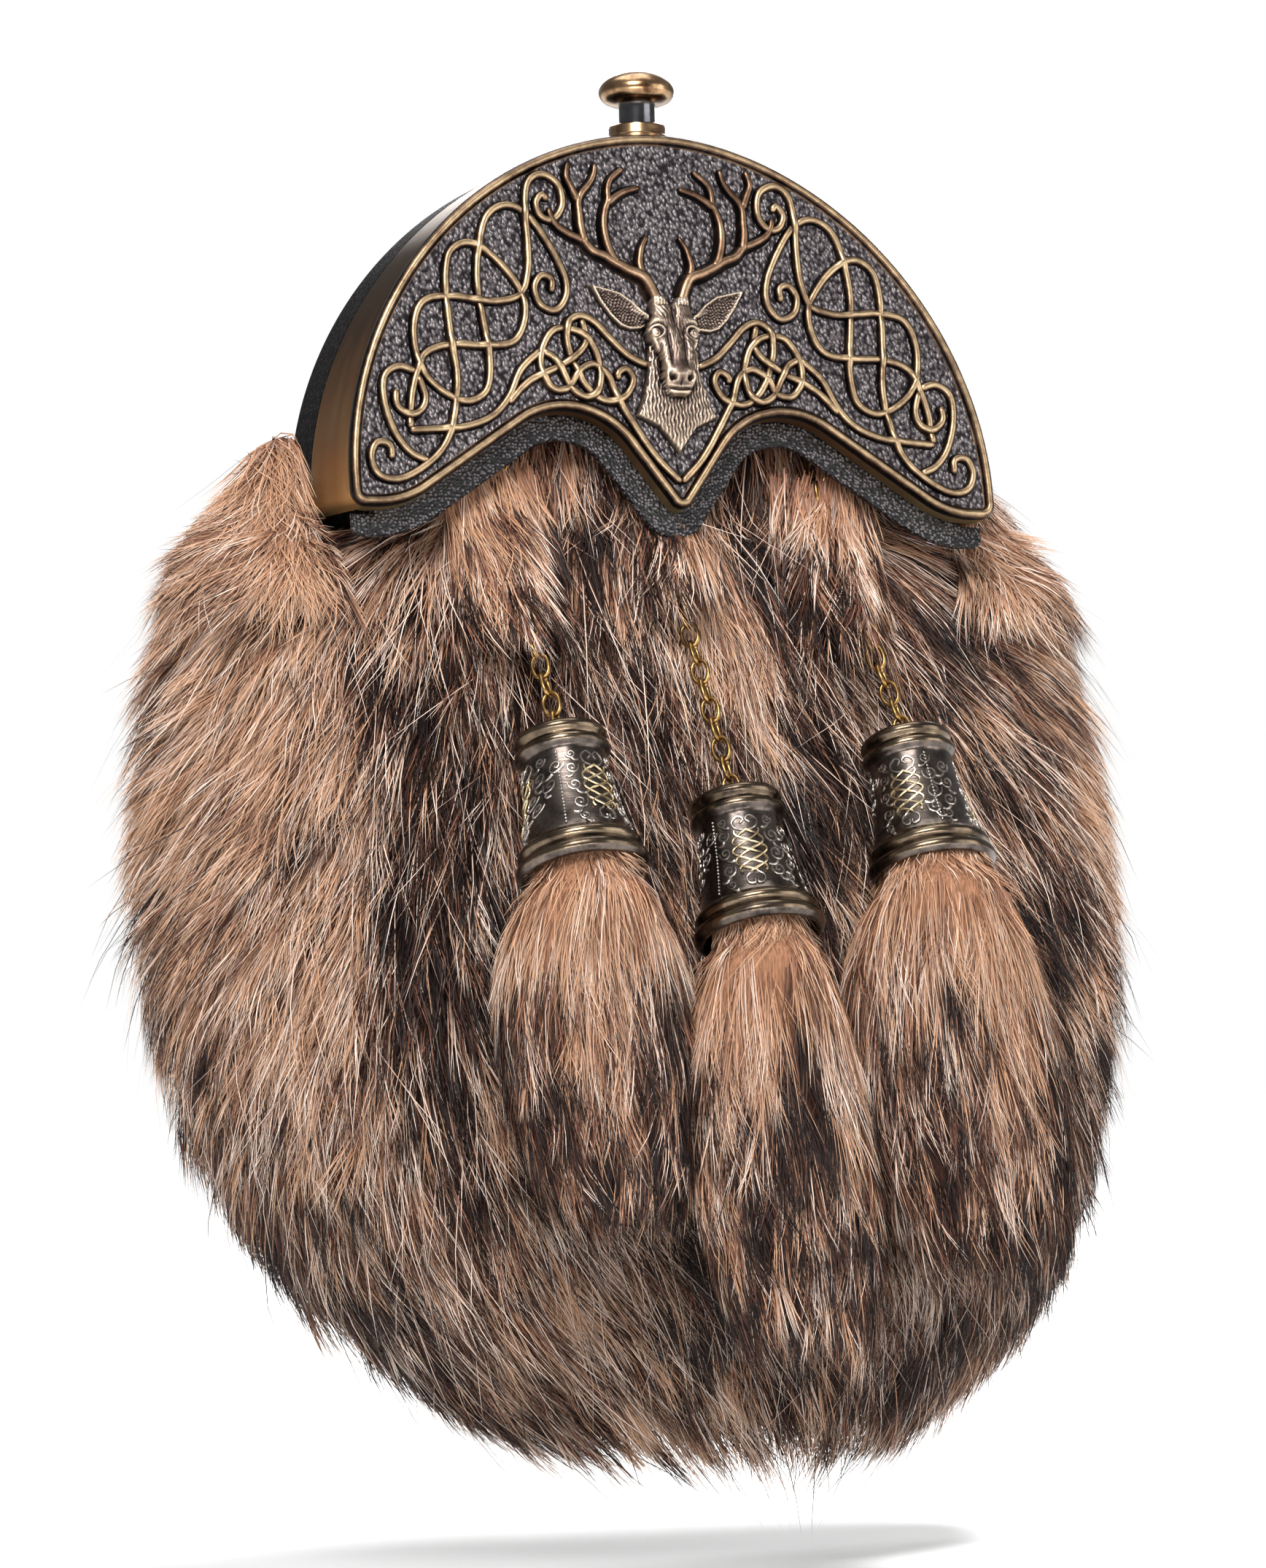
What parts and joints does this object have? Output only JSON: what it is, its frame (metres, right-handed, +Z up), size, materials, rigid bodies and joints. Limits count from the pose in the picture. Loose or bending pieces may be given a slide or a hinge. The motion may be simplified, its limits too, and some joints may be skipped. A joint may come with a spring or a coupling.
{
  "type": "sporran pouch",
  "caption": "Dress sporran: scalloped cast cantle with knotwork and a stag's head, plunger knob, fur covered leather bag, fur tassels in bells on chains, belt loops at the back",
  "frame": {"origin": "where a belt passes at the back, midway between the two belt loops", "axes": "+Z up as worn and the longest extent, -Y towards the viewer with +Y the shortest extent, +X to the viewer's right"},
  "size_m": [0.2139, 0.0914, 0.2759],
  "materials": {
    "cast_brass": "antique brass casting, hammered field with dark patina, polished cords",
    "turned_brass": "turned antique brass, satin with dark edges",
    "dark_steel": "polished dark steel",
    "black_leather": "black grained leather, low sheen",
    "fur": "long brown fur with cream guard hairs and dark patches",
    "tassel_fur": "long dark brown fur with cream guard hairs, tan at the root",
    "brass_wire": "bright brass wire",
    "gunmetal_brass": "dark glossy gunmetal with brassy highlights on beads and engraving"
  },
  "bodies": {
    "pouch": {"cantle": "cast_brass", "knob_collar": "turned_brass", "apron": "black_leather", "back_panel": "black_leather", "pouch_shell": "black_leather", "belt_loop_left": "black_leather", "belt_loop_right": "black_leather", "fur_coat": "fur", "chain_left": "brass_wire", "chain_middle": "brass_wire", "chain_right": "brass_wire", "bell_left": "gunmetal_brass", "bell_middle": "gunmetal_brass", "bell_right": "gunmetal_brass", "tassel_left": "tassel_fur", "tassel_middle": "tassel_fur", "tassel_right": "tassel_fur"},
    "plunger": {"knob": "turned_brass", "knob_stem": "dark_steel"}
  },
  "joints": [
    {"name": "knob_lift", "type": "slide", "parent": "pouch", "child": "plunger", "axis": [0, 0, 1], "range_m": [0, 0.003], "stiffness_N_per_m": 200, "springref_m": -0.002}
  ]
}
